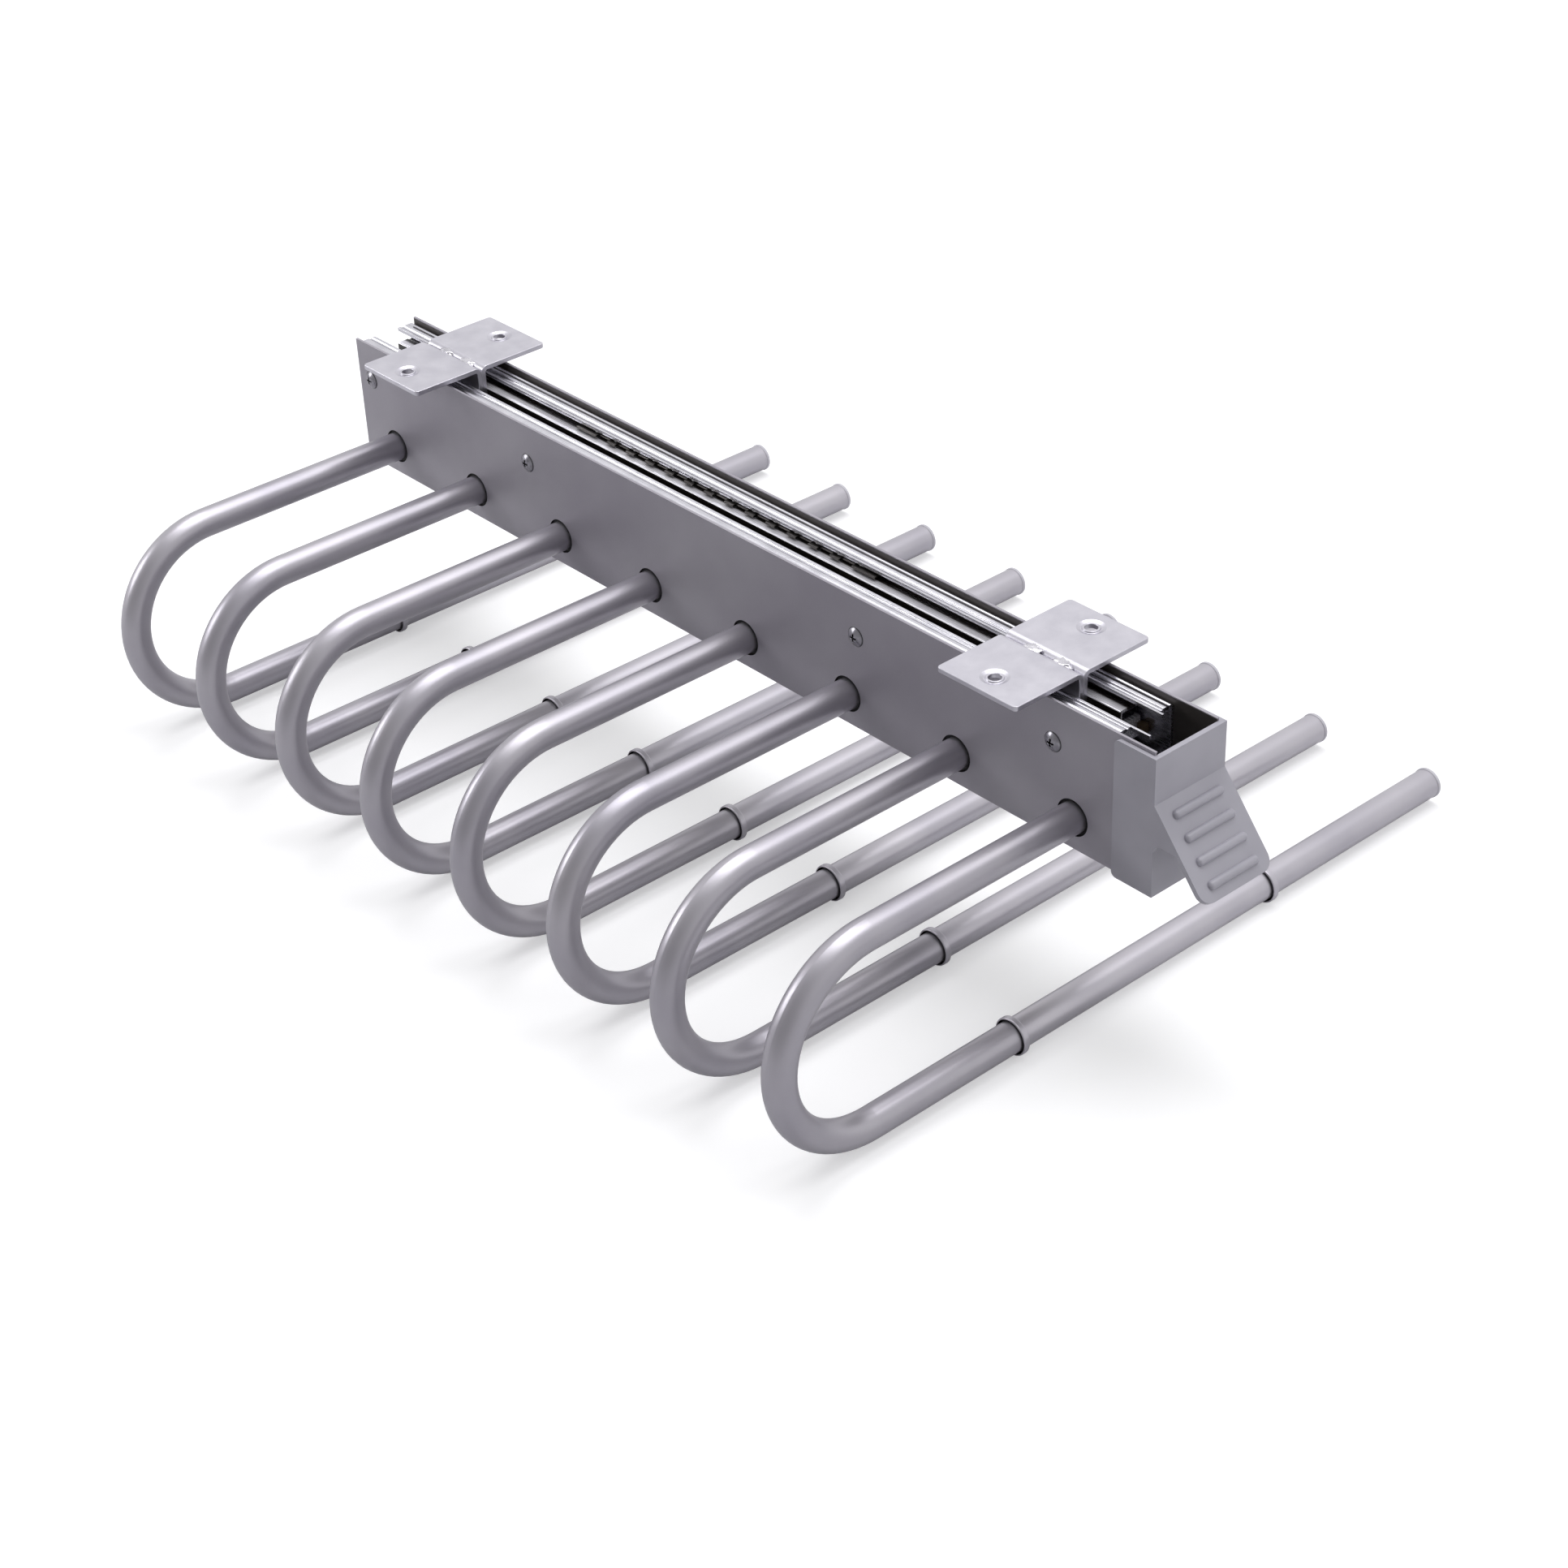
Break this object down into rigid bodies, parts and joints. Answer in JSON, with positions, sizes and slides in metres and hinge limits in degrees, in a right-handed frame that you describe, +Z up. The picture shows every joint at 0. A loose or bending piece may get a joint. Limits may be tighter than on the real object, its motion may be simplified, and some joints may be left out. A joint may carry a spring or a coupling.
{
  "type": "trouser rack",
  "caption": "Pull-out trouser rack: bent bars with free ends on a channel that slides forward under a shelf on two ball-bearing slides, with a ribbed pull.",
  "frame": {"origin": "middle of the four shelf screw holes, on top of the bracket plates", "axes": "+X towards the free ends of the arms, -Y out towards the pull, +Z up into the shelf"},
  "size_m": [0.344, 0.4836, 0.1335],
  "materials": {
    "bracket": "zinc plated, satin",
    "weld": "bright weld metal under zinc",
    "rail": "bright zinc plated",
    "rivet": "zinc plated",
    "channel": "satin metallic grey",
    "cap": "fine satin moulding",
    "screw": "zinc plated",
    "bumper": "soft, brown",
    "cage": "bright zinc plated",
    "ball": "polished",
    "arm": "satin metallic silver",
    "sleeve": "satin metallic silver",
    "plug": "satin silver",
    "bush": "matt black",
    "insert": "turned"
  },
  "bodies": {
    "root": {"rear_bracket_left": "bracket", "rear_bracket_right": "bracket", "front_bracket_left": "bracket", "front_bracket_right": "bracket", "bracket_welds": "weld", "fixed_rail_left": "rail", "fixed_rail_right": "rail", "rail_rivets": "rivet"},
    "carriage": {"channel": "channel", "end_cap": "cap", "cap_screw": "screw", "moving_rail_left": "rail", "moving_rail_right": "rail", "wall_screws_left": "screw", "wall_screws_right": "screw", "rail_bumpers": "bumper", "arm_1": "arm", "arm_2": "arm", "arm_3": "arm", "arm_4": "arm", "arm_5": "arm", "arm_6": "arm", "arm_7": "arm", "arm_8": "arm", "near_sleeve_1": "sleeve", "near_sleeve_2": "sleeve", "near_sleeve_3": "sleeve", "near_sleeve_4": "sleeve", "near_sleeve_5": "sleeve", "near_sleeve_6": "sleeve", "near_sleeve_7": "sleeve", "near_sleeve_8": "sleeve", "far_sleeve_1": "sleeve", "far_sleeve_2": "sleeve", "far_sleeve_3": "sleeve", "far_sleeve_4": "sleeve", "far_sleeve_5": "sleeve", "far_sleeve_6": "sleeve", "far_sleeve_7": "sleeve", "far_sleeve_8": "sleeve", "end_plug_1": "plug", "end_plug_2": "plug", "end_plug_3": "plug", "end_plug_4": "plug", "end_plug_5": "plug", "end_plug_6": "plug", "end_plug_7": "plug", "end_plug_8": "plug", "arm_bushes": "bush", "arm_inserts": "insert", "arm_screws": "screw"},
    "left_cage": {"ball_cage_left": "cage", "balls_left": "ball"},
    "right_cage": {"ball_cage_right": "cage", "balls_right": "ball"}
  },
  "joints": [
    {"name": "rack_slide", "type": "slide", "parent": "root", "child": "carriage", "axis": [0, -1, 0], "range_m": [0, 0.24]},
    {"name": "left_cage_slide", "type": "slide", "parent": "root", "child": "left_cage", "axis": [0, -1, 0], "range_m": [0, 0.12]},
    {"name": "right_cage_slide", "type": "slide", "parent": "root", "child": "right_cage", "axis": [0, -1, 0], "range_m": [0, 0.12]}
  ],
  "couplings": [
    {"joint": "left_cage_slide", "follows": "rack_slide", "ratio": 0.5},
    {"joint": "right_cage_slide", "follows": "rack_slide", "ratio": 0.5}
  ]
}
